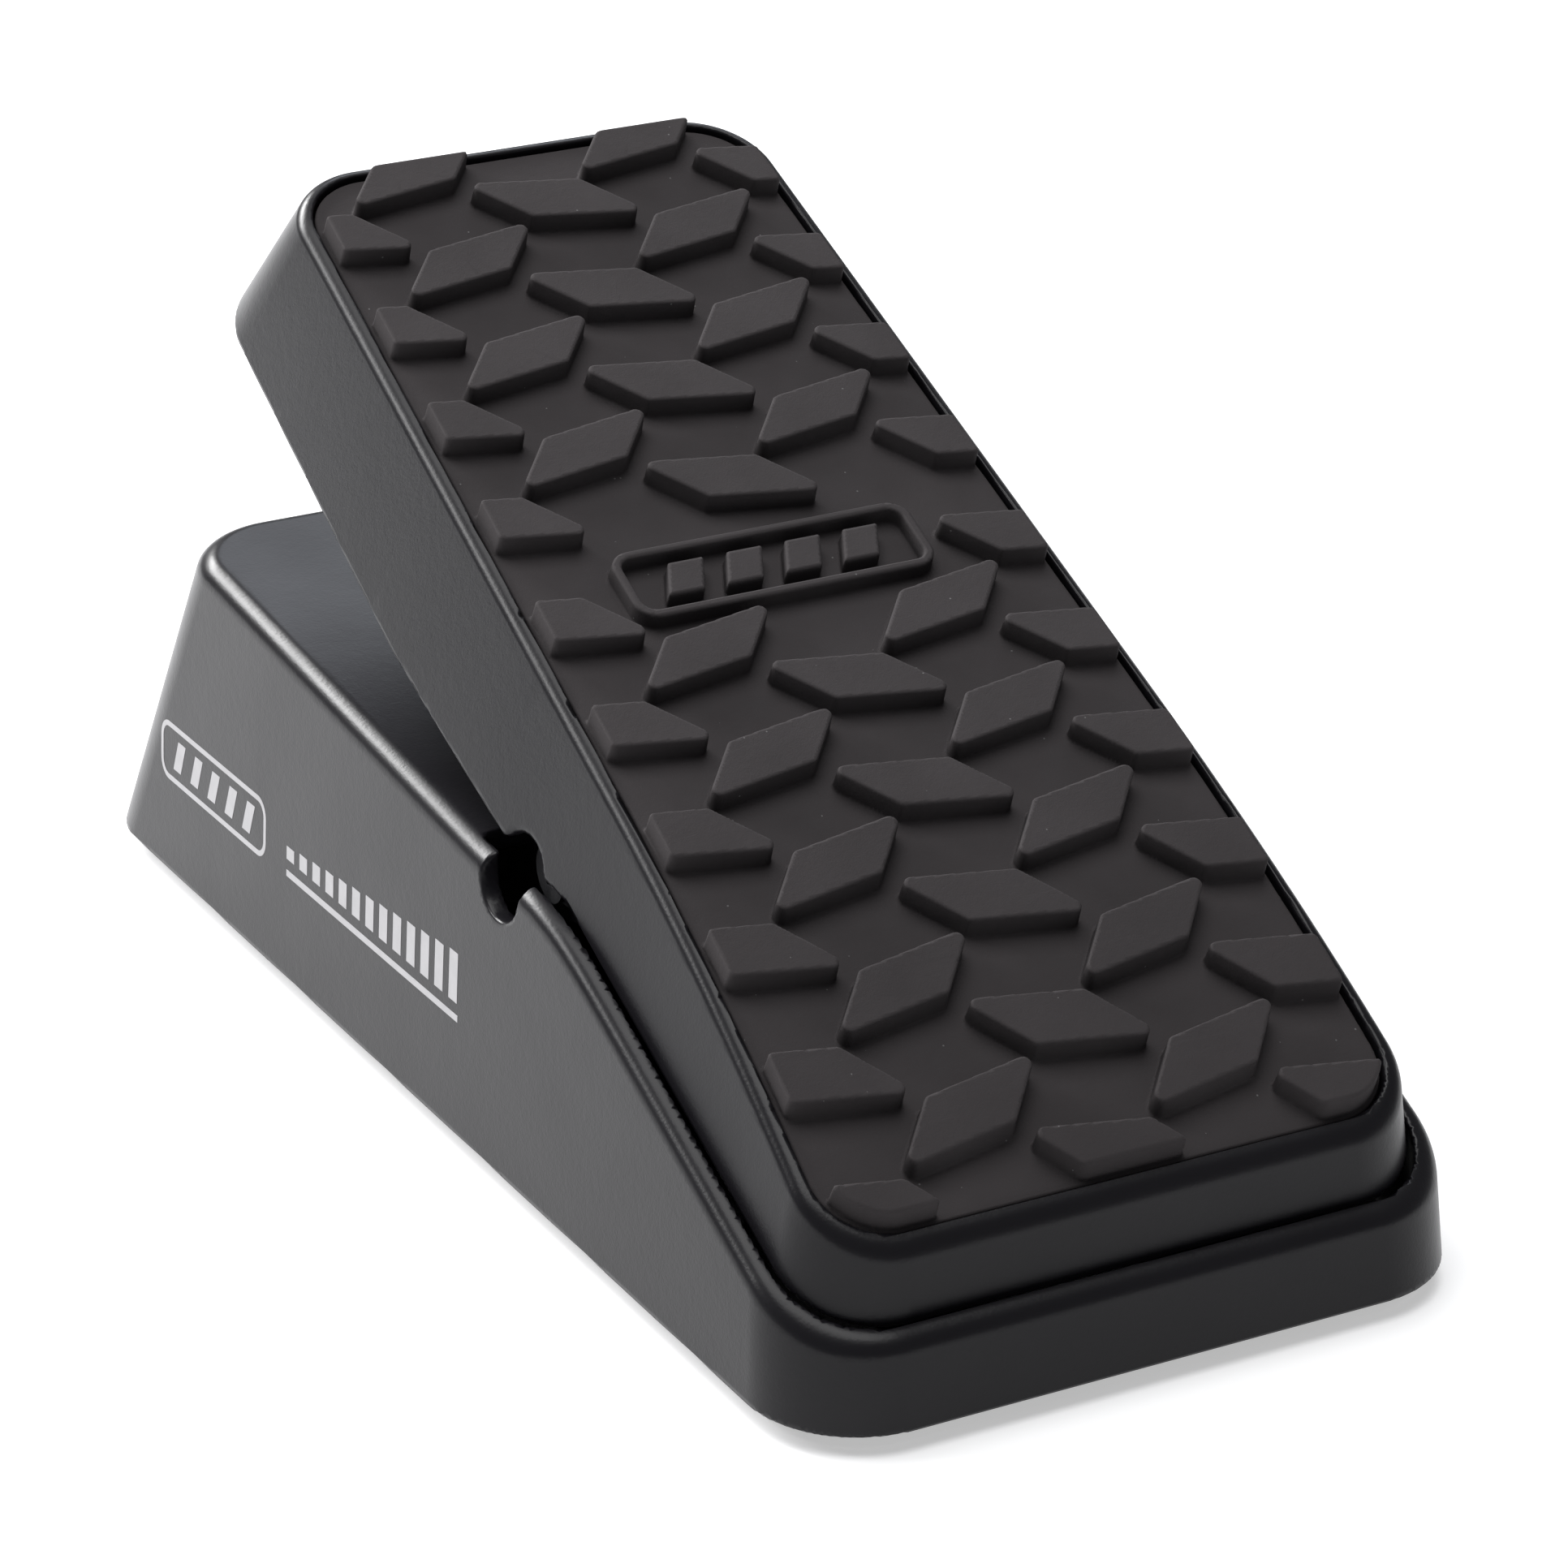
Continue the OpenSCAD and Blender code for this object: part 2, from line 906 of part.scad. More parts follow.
module drive_drum() {
    color([0.75, 0.7, 0.5])
    translate([0, drum_y, drum_z])
        difference() {
            union() {
                translate([-3.5, 0, 0])
                    screw_x(drum_r, 7);
                translate([-2.2, 0, 0])
                    screw_x(drum_r + 0.4, 4.4);
            }
            translate([-5, 0, 0])
                screw_x(axle_r + 0.02, 12);
            translate([2.85, 0, 0])
                cylinder(r = 0.5, h = 6, $fn = 32);
        }
}

module drum_set_screw() {
    color(steel)
    translate([2.85, drum_y, drum_z + 3.1])
        cylinder(r = 0.46, h = 1.1, $fn = 32);
}

module pot_shaft() {
    color([0.7, 0.7, 0.72])
    translate([-4.2, drum_y, drum_z])
        difference() {
            screw_x(axle_r, 20);
            translate([-1, -0.4, -5])
                cube([2.5, 0.8, 10]);
        }
}

base_casting();
bottom_plate();
plate_screws();
rubber_feet();
pivot_bushes();
heel_bumpers();
input_jack();
output_jack();
aux_jack();
jack_nuts();
jack_washers();
circuit_board();
board_parts();
board_screws();
pot_bracket();
bracket_screws();
pot_body();
pot_nut();
pot_washer();
wiring();
treadle_casting();
tread_mat();
pivot_axle();
axle_clip();
tension_washer();
toe_bumpers();
drive_sector();
sector_screws();
drive_band();
band_screws();
tension_screw();
drive_drum();
drum_set_screw();
pot_shaft();
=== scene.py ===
import json
import math

import bmesh
import bpy
import numpy as np
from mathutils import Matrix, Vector


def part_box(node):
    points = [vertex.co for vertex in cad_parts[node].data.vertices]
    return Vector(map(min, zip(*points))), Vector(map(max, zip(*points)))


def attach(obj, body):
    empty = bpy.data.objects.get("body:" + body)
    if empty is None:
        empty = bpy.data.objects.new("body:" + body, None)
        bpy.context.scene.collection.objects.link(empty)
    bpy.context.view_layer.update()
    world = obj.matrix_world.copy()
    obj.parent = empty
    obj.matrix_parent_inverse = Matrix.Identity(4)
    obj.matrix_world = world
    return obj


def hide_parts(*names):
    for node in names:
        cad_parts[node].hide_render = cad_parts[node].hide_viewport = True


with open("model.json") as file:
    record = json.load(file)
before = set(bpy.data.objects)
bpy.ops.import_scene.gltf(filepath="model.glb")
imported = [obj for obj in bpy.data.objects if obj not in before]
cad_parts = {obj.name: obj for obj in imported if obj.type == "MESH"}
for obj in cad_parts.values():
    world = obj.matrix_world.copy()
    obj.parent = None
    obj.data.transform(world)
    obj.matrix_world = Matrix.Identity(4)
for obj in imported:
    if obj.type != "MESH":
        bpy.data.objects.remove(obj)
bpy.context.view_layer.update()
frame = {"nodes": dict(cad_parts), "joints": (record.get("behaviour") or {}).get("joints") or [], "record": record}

# Volume pedal. Shapes are worked out in millimetres and written to the meshes in metres.
MM = 0.001
nodes = frame["nodes"]
scene = bpy.context.scene


# ---- where things are: from the frame, in millimetres ----

def box(node):
    """Low and high corners of a node."""
    lo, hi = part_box(node)
    return np.array(lo) / MM, np.array(hi) / MM


def joint(name):
    """Where a joint's axis is."""
    j = next(j for j in frame["joints"] if j["name"] == name)
    return np.array(j["pos_m"]) / MM


BASE_LO, BASE_HI = box("base_casting")
HALF_LENGTH = (BASE_HI[1] - BASE_LO[1]) / 2
BASE_Z = BASE_LO[2]
TOE_HALF = BASE_HI[0]
HEEL_HALF = TOE_HALF - 4.0
AXLE = joint("treadle_rock")
AX_Y, AX_Z = AXLE[1], AXLE[2]
TILT = math.radians(23.5)


# ---- fields: negative inside, millimetres ----

def rmax(a, b, r):
    """Where two solids overlap, its edge rounded to radius r."""
    return np.minimum(np.maximum(a, b), -r) + np.hypot(np.maximum(a + r, 0), np.maximum(b + r, 0))


def rmin(a, b, r):
    """Two solids together, the corner between them filled to radius r."""
    return np.maximum(np.minimum(a, b), r) - np.hypot(np.maximum(r - a, 0), np.maximum(r - b, 0))


def trapezoid(x, y, xh, yh, xt, yt):
    """Distance to a trapezoid with its heel edge at yh and its toe edge at yt."""
    x = np.abs(x)
    ex, ey = xt - xh, yt - yh
    px, py = x - xh, y - yh
    t = np.clip((px * ex + py * ey) / (ex * ex + ey * ey), 0, 1)
    side = np.hypot(px - ex * t, py - ey * t)
    heel = np.hypot(np.maximum(x - xh, 0), y - yh)
    toe = np.hypot(np.maximum(x - xt, 0), y - yt)
    d = np.minimum(np.minimum(side, heel), toe)
    inside = (ex * py - ey * px > 0) & (y > yh) & (y < yt)
    return np.where(inside, -d, d)


def polygon(x, y, pts):
    """Distance to a simple polygon."""
    d, inside = None, None
    for i, (ax, ay) in enumerate(pts):
        bx, by = pts[(i + 1) % len(pts)]
        ex, ey = bx - ax, by - ay
        px, py = x - ax, y - ay
        t = np.clip((px * ex + py * ey) / (ex * ex + ey * ey), 0, 1)
        q = (px - ex * t) ** 2 + (py - ey * t) ** 2
        d = q if d is None else np.minimum(d, q)
        c = ((ay > y) != (by > y)) & (x < ex * (y - ay) / (ey if ey else 1e-9) + ax)
        inside = c if inside is None else inside ^ c
    return np.where(inside, -1.0, 1.0) * np.sqrt(d)


def rod_x(x, y, z, cy, cz, r, x0, x1):
    """A rod along X."""
    return np.maximum(np.hypot(y - cy, z - cz) - r, np.abs(x - (x0 + x1) / 2) - (x1 - x0) / 2)


def rod_z(x, y, z, cx, cy, r, z0, z1):
    """A rod along Z."""
    return np.maximum(np.hypot(x - cx, y - cy) - r, np.abs(z - (z0 + z1) / 2) - (z1 - z0) / 2)


# ---- base casting ----

WALL, DECK_THICK = 2.6, 3
DECK_Z, DECK_SLOPE = 41.1, 0.108  # height at the middle of the length, and rise towards the toe
OPEN_Y = -13.0                    # the deck's heel edge; behind it the base is open under the treadle
CORNER = 14                       # radius of the base's corners at the floor
DRAFT_HEIGHT = 52.5               # the walls lean in by these amounts over this height
SIDE_LEAN, HEEL_LEAN, TOE_LEAN, CORNER_LEAN = 1.15, 4.3, 27.4, 2
PLATE_BOSSES = [(-38.8, -66), (38.8, -66), (-40.6, 4), (40.6, 4), (-41.6, 66), (41.6, 66)]
BOARD_POSTS = [(-26, 37), (26, 37), (-26, 59), (26, 59)]
BRACKET_POSTS = [(18, 14), (18, 26)]
BUSH_HOLE_R, JACK_HOLE_R = 4.53, 4.9
NOTCH_R, NOTCH_FROM = 4.8, 40.5   # the notch for the screw, cut through the wall from this x out
NOTCH_Y, NOTCH_Z = 1.4, 0.4       # its centre: towards the toe from the axle, and below it
JACK_X = (-28.0, 0.0, 28.0)
JACK_H, TOE_RAKE = 24.5, 0.56
JACK_Y, JACK_Z = HALF_LENGTH - TOE_RAKE * JACK_H, BASE_Z + JACK_H
JACK_N = np.array([0, math.cos(math.atan(TOE_RAKE)), math.sin(math.atan(TOE_RAKE))])

# Top edge of the side wall as (y, height): heel rim, drop beside the treadle, deck line; then smoothed.
RIM = [(-121, 11.4), (-98, 11.4), (-94.5, 12.6), (-89, 15.1), (-52, 31.3), (-44, 34.7), (-38, 36.9),
       (-33, 38.1), (-28, 38.7), (-22, 38.9), (-15, DECK_Z - DECK_SLOPE * 15), (121, DECK_Z + DECK_SLOPE * 121)]
RIM_STEP, RIM_BLUR, RIM_PAD = 0.25, 2.0, 32
RIM_Y = np.arange(-121, 121.01, RIM_STEP)
kernel = np.exp(-0.5 * (np.arange(-RIM_PAD, RIM_PAD + 1) * RIM_STEP / RIM_BLUR) ** 2)
sharp_rim = np.pad(np.interp(RIM_Y, [p[0] for p in RIM], [p[1] for p in RIM]), RIM_PAD, mode="edge")
RIM_Z = BASE_Z + np.convolve(sharp_rim, kernel / kernel.sum(), mode="valid")
RIM_COS = 1 / np.hypot(1, np.gradient(RIM_Z, RIM_Y))


def deck(y):
    return BASE_Z + DECK_Z + DECK_SLOPE * y


def base_side(x, y, z):
    """The drafted walls, without a top or a bottom."""
    t = (z - BASE_Z) / DRAFT_HEIGHT
    heel_half, toe_half = HEEL_HALF - CORNER - SIDE_LEAN * t, TOE_HALF - CORNER - SIDE_LEAN * t
    heel_y, toe_y = -HALF_LENGTH + CORNER + HEEL_LEAN * t, HALF_LENGTH - CORNER - TOE_LEAN * t
    return trapezoid(x, y, heel_half, heel_y, toe_half, toe_y) - (CORNER - CORNER_LEAN * t)


def base_field(x, y, z):
    side = base_side(x, y, z)
    top = (z - np.interp(y, RIM_Y, RIM_Z)) * np.interp(y, RIM_Y, RIM_COS)
    edge = np.interp(y, [-30, -16], [2.2, 2.7])
    body = rmax(side, top, edge)
    body = rmax(body, BASE_Z - z, 0.5)
    hollow = rmax(side + WALL, rmin(z - deck(y) + DECK_THICK, y - OPEN_Y, 1.0), 1.2)
    solid = rmax(body, -hollow, 0.35)
    ear = np.minimum(np.hypot(y - AX_Y, z - AX_Z) - 7.5,
                     polygon(y, z, [(AX_Y, AX_Z - 7.5), (8, AX_Z - 16), (14, AX_Z - 12), (14, deck(14) - 1),
                                    (OPEN_Y + 1, deck(OPEN_Y) - 1), (AX_Y + 6, AX_Z + 3), (AX_Y, AX_Z + 6)]))
    inner = rmax(np.abs(np.abs(x) - 33) - 2, ear, 0.4)
    for cx, cy in PLATE_BOSSES:
        inner = np.minimum(inner, rod_z(x, y, z, cx, cy, 4.4, BASE_Z + 1.5, BASE_Z + 12))
    for cx, cy in BOARD_POSTS:
        inner = np.minimum(inner, rod_z(x, y, z, cx, cy, 3, 37.6, deck(cy) - 1))
    for cx, cy in BRACKET_POSTS:
        inner = np.minimum(inner, rod_z(x, y, z, cx, cy, 4, 37, deck(cy) - 1))
    inner = rmax(inner, side + 1.2, 0.1)
    solid = rmin(solid, inner, 0.6)
    solid = np.maximum(solid, -rod_x(np.abs(x), y, z, AX_Y, AX_Z, BUSH_HOLE_R, 29, 37))
    for cx, cy in PLATE_BOSSES:
        solid = np.maximum(solid, -rod_z(x, y, z, cx, cy, 1.5, BASE_Z, BASE_Z + 10))
    notch = np.maximum(np.hypot(y - AX_Y - NOTCH_Y, z - AX_Z + NOTCH_Z) - NOTCH_R, NOTCH_FROM - np.abs(x))
    solid = rmax(solid, -notch, 0.5)
    for cx in JACK_X:
        along = (y - JACK_Y) * JACK_N[1] + (z - JACK_Z) * JACK_N[2]
        across = (z - JACK_Z) * JACK_N[1] - (y - JACK_Y) * JACK_N[2]
        hole = np.maximum(np.hypot(x - cx, across) - JACK_HOLE_R, np.abs(along) - 6)
        solid = rmax(solid, -hole, 0.25)
    return solid


# ---- treadle, in its own frame: x across, y towards the toe, z off the pivot ----

LIP = 19.0                        # height of the lip over the pivot
ROLL_R, ROLL_V = 387.7, -5.0      # the heel part of the top curves down, from this y on
ROLL_N = LIP - ROLL_R
SKIRT, TRAY_FLOOR = 2.5, 5        # thickness of the skirt, and the tray's underside below the lip
TRAY_DEPTH = 2.5
TRAY_HEEL, TRAY_TOE = -63.0, 95.4
AXLE_HOLE_R = 3.02
ARCH_R, ARCH_Y, ARCH_Z = 5.2, 1.2, -0.9
SKIRT_HEIGHT, BOW, BOW_Y = 25.0, 2.35, 8
SKIRT_EDGE = ([-14, -9, -5, 4, 8, 41.5], [4.0, 4.2, 3.4, 0.8, 0.5, -2.0])  # y, and the lower edge there
# Posts on both sides as (x, y, radius, from, to): toe pads, heel stops, drive sector.
POSTS = ((18, 85, 4, 2.5, 14.6), (20, -60, 4, -3.6, 11.9), (6, -1, 3.2, 11, 14.6))


def on_treadle(p):
    """Points of the treadle's frame in the shared one."""
    c, s = math.cos(TILT), math.sin(TILT)
    q = p.copy()
    q[:, 1] = AX_Y + p[:, 1] * c - p[:, 2] * s
    q[:, 2] = AX_Z + p[:, 1] * s + p[:, 2] * c
    return q


def level(v, n):
    """Height at v of the rolled surface that is n above the pivot line at the toe."""
    return ROLL_N + np.sqrt((n - ROLL_N) ** 2 - np.minimum(v - ROLL_V, 0) ** 2)


def treadle_side(x, y, z):
    """The skirts: drafted, and bowed outwards in the middle of their length."""
    t = (LIP - z) / SKIRT_HEIGHT
    toeward = np.interp(y, [-63, 97], [0, 1])
    radius = (10 + 2.6 * t) * (1 - toeward) + (11 + 4 * t) * toeward
    away = np.minimum(np.abs(y - BOW_Y) / np.where(y > BOW_Y, 90.4, 77.4), 1)
    bow = BOW * t * (1 - (np.sqrt(away * away + 0.04) - 0.2) / 0.8198)
    heel_half, toe_half = 28.4 + 2.1 * t, 22.4 + 2.4 * t
    heel_y, toe_y = -61.4 - 8 * t, 95.4 + 3 * t
    slope = 1.03  # makes up for the draft, so that the radii come out true
    return (trapezoid(np.maximum(np.abs(x) - bow, 0), y, heel_half, heel_y, toe_half, toe_y) - radius) / slope


def tray(x, y):
    """Outline of the recess that holds the mat."""
    return trapezoid(x, y, 29.0, TRAY_HEEL, 22.4, TRAY_TOE) - np.interp(y, [TRAY_HEEL, TRAY_TOE], [8.4, 9.4])


def treadle_field(x, y, z):
    side = treadle_side(x, y, z)
    lip = level(y, LIP)
    body = rmax(side, z - lip, 1.5)
    body = rmax(body, np.interp(y, *SKIRT_EDGE) - z, 0.6)
    under = rmax(side + SKIRT, z - lip + TRAY_FLOOR, 2.0)
    solid = rmax(body, -under, 0.5)
    solid = rmax(solid, -rmax(tray(x, y), lip - TRAY_DEPTH - z, 0.5), 0.35)
    arch = np.maximum(np.hypot(y - ARCH_Y, z - ARCH_Z) - ARCH_R, 33 - np.abs(x))
    solid = rmax(solid, -arch, 0.9)
    ears = np.minimum(np.hypot(y, z) - 6.5, np.maximum(np.abs(y) - 6.5, np.abs(z - 7.3) - 7.3))
    inner = rmax(np.abs(np.abs(x) - 27.5) - 2, ears, 0.3)
    for cx, cy, r, z0, z1 in POSTS:
        inner = np.minimum(inner, rod_z(np.abs(x), y, z, cx, cy, r, z0, z1))
    solid = rmin(solid, inner, 0.8)
    return np.maximum(solid, -rod_x(x, y, z, 0, 0, AXLE_HOLE_R, -31, 31))


# ---- tread mat, in the same frame ----

def inset_polygon(pts, d):
    """A convex polygon with its edges moved in by d."""
    out, lines, n = [], [], len(pts)
    for i in range(n):
        a, b = np.array(pts[i], float), np.array(pts[(i + 1) % n], float)
        e = (b - a) / np.linalg.norm(b - a)
        normal = np.array([-e[1], e[0]])
        lines.append((normal, normal @ a + d))
    for i in range(n):
        (n0, c0), (n1, c1) = lines[i - 1], lines[i]
        out.append(tuple(np.linalg.solve(np.array([n0, n1]), [c0, c1])))
    return out


BLOCK_ROUND = 0.95
BLOCK = inset_polygon([(-11.1, 5.3), (-4.5, -2.85), (11.1, -5.3), (4.5, 2.85)], BLOCK_ROUND)
PITCH, COLUMN = 18.02, 15.99      # of the blocks, along and across
FIRST_ROW, FIRST_ROW_ODD = 110.66, 101.86
MAT_TOP, MAT_UNDER = 18.3, 16.55
BLOCK_HIGH, MARK_HIGH, BLOCK_DRAFT = 3.0, 2.4, 0.05
NO_GAP = 99


def block_column(x, y, centre, flip, y0, rows, missing):
    """Blocks one behind another, numbered from the toe; flip -1 mirrors them, and one row is missing."""
    row = np.round((y0 - y) / PITCH)
    d = polygon((x - centre) * flip, y - (y0 - row * PITCH), BLOCK) - BLOCK_ROUND
    gone = (row < rows[0]) | (row > rows[1]) | (row == missing)
    return np.where(gone, 4.0, d)


def round_rect(x, y, w, h, r):
    """Distance to a rectangle with rounded corners."""
    qx, qy = np.abs(x) - w / 2 + r, np.abs(y) - h / 2 + r
    return np.hypot(np.maximum(qx, 0), np.maximum(qy, 0)) + np.minimum(np.maximum(qx, qy), 0) - r


def badge(x, y):
    """A plain frame with four slanted bars."""
    x, y = x + 1, y - 24.2
    mark = np.maximum(round_rect(x, y, 41, 11.4, 3), -round_rect(x, y, 38.6, 9, 1.8))
    for cx in (-12, -4, 4, 12):
        bar = polygon(x - cx, y, [(-3.2, -2.4), (1.2, -2.4), (3.2, 2.4), (-1.2, 2.4)]) - 0.2
        mark = np.minimum(mark, bar)
    return mark


def mat_plan(x, y):
    """The blocks cut off at the mat's outline, the outline and the moulded mark."""
    blocks = block_column(x, y, 0, 1, FIRST_ROW, (1, 10), 5)
    for s in (-1, 1):
        blocks = np.minimum(blocks, block_column(x, y, 2 * s * COLUMN, 1, FIRST_ROW, (1, 10), NO_GAP))
        blocks = np.minimum(blocks, block_column(x, y, s * COLUMN, -1, FIRST_ROW_ODD, (0, 9), 4))
    outline = tray(x, y)
    return rmax(blocks, outline + 0.9, 0.6), outline, badge(x, y)


def mat_field(x, y, z):
    blocks, outline, mark = mat_plan(x, y)
    top = level(y, MAT_TOP)
    sheet = rmax(outline + 0.32, z - top, 0.35)
    sheet = rmax(sheet, level(y, MAT_UNDER) - z, 0.2)
    high = top + BLOCK_HIGH
    raised = rmax(blocks - BLOCK_DRAFT * np.minimum(high - z, 3.5), z - high, 0.3)
    raised = np.maximum(raised, top - 1 - z)
    solid = rmin(sheet, raised, 0.25)
    emblem = rmax(mark - BLOCK_DRAFT * (top + MARK_HIGH - z), z - top - MARK_HIGH, 0.3)
    return rmin(solid, np.maximum(emblem, top - 1 - z), 0.3)


# ---- surfaces from fields ----

def gradient(f, p, e=0.04):
    """Gradient of f at the points, from differences over e each way."""
    g = np.empty_like(p)
    for a in range(3):
        d = np.zeros(3)
        d[a] = e
        hi, lo = p + d, p - d
        g[:, a] = (f(hi[:, 0], hi[:, 1], hi[:, 2]) - f(lo[:, 0], lo[:, 1], lo[:, 2])) / (2 * e)
    return g


def settle(f, p, step, turns=4):
    """Moves points onto the surface."""
    for _ in range(turns):
        g = gradient(f, p)
        d = f(p[:, 0], p[:, 1], p[:, 2])
        move = (d / np.maximum((g * g).sum(1), 0.05))[:, None] * g
        far = np.linalg.norm(move, axis=1)
        move *= np.minimum(1, step / np.maximum(far, 1e-9))[:, None]
        p = p - move
    return p


def net(f, lo, hi, h):
    """Surface net of a field: points and quads."""
    ax = [np.arange(a, b + h, h, dtype=np.float32) for a, b in zip(lo, hi)]
    v = f(ax[0][:, None, None], ax[1][None, :, None], ax[2][None, None, :]).astype(np.float32)
    s = v < 0
    n = np.array(v.shape)
    count = np.zeros(n - 1, np.int8)
    corners = [(i, j, k) for i in (0, 1) for j in (0, 1) for k in (0, 1)]
    for i, j, k in corners:
        count += s[i:n[0] - 1 + i, j:n[1] - 1 + j, k:n[2] - 1 + k]
    active = (count > 0) & (count < 8)
    cells = np.argwhere(active)
    index = np.full(active.shape, -1, np.int64)
    index[active] = np.arange(len(cells))
    total, hits = np.zeros((len(cells), 3)), np.zeros(len(cells))
    for a in corners:
        for d in range(3):
            if a[d]:
                continue
            b = np.array(a)
            b[d] = 1
            va, vb = v[tuple((cells + a).T)], v[tuple((cells + b).T)]
            cross = (va < 0) != (vb < 0)
            t = np.where(cross, va / np.where(cross, va - vb, 1), 0)
            point = np.array(a, float) + t[:, None] * (b - np.array(a))
            total[cross] += point[cross]
            hits += cross
    points = np.array([a[0] for a in ax]) + h * (cells + total / hits[:, None])
    quads = []
    for d in range(3):
        a, b = (d + 1) % 3, (d + 2) % 3
        lo_, hi_ = [slice(1, None)] * 3, [slice(1, None)] * 3
        lo_[d], hi_[d] = slice(0, -1), slice(1, None)
        first, second = s[tuple(lo_)], s[tuple(hi_)]
        g = np.argwhere(first != second)
        start = np.ones(3, int)
        start[d] = 0
        g = g + start
        keep = (g[:, a] < n[a] - 1) & (g[:, b] < n[b] - 1)
        g = g[keep]
        ea, eb = np.eye(3, dtype=int)[a], np.eye(3, dtype=int)[b]
        q = np.stack([index[tuple((g - ea - eb).T)], index[tuple((g - eb).T)], index[tuple(g.T)],
                      index[tuple((g - ea).T)]], 1)
        outward = s[tuple(g.T)]
        q[~outward] = q[~outward][:, ::-1]
        quads.append(q)
    return points, np.concatenate(quads)


def to_mesh(name, points, faces):
    mesh = bpy.data.meshes.new(name)
    mesh.from_pydata(points.tolist(), [], faces.tolist())
    mesh.update()
    return mesh


def cast(name, f, lo, hi, h, keep, place=None):
    """A closed surface of a field, on a grid of pitch h, thinned to keep, with the field's own normals."""
    points, quads = net(f, lo, hi, h)
    points = settle(f, points, h * 0.5)
    obj = bpy.data.objects.new(name, to_mesh(name, points, quads))
    scene.collection.objects.link(obj)
    thin = obj.modifiers.new("thin", "DECIMATE")
    thin.ratio = keep
    thin.use_collapse_triangulate = True
    made = bpy.data.meshes.new_from_object(obj.evaluated_get(bpy.context.evaluated_depsgraph_get()))
    obj.modifiers.clear()
    obj.data = made
    p = np.empty(len(made.vertices) * 3)
    made.vertices.foreach_get("co", p)
    p = settle(f, p.reshape(-1, 3), h * 0.3, 2)
    normal = gradient(f, p, 0.06)
    if place:
        normal = place(p + normal * 1e-3) - place(p)
        p = place(p)
    normal /= np.maximum(np.linalg.norm(normal, axis=1), 1e-12)[:, None]
    made.vertices.foreach_set("co", (p * MM).ravel())
    made.update()
    made.shade_smooth()
    made.normals_split_custom_set_from_vertices(normal.tolist())
    return obj


base = cast("base_shell", base_field, (-50.4, -102.6, 1.9), (50.4, 102.6, 56.0), 0.62, 0.16)
treadle = cast("treadle_shell", treadle_field, (-44.2, -83.0, -4.8), (44.2, 114.4, 20.2), 0.55, 0.18,
               on_treadle)
mat = cast("ribbed_mat", mat_field, (-38.2, -72.4, 9.0), (38.2, 105.6, 22.0), 0.38, 0.2, on_treadle)


# ---- materials ----

def linear(c):
    """An sRGB value of 0-255 as a linear one of 0-1."""
    return ((c / 255 + 0.055) / 1.055) ** 2.4 if c > 10 else c / 255 / 12.92


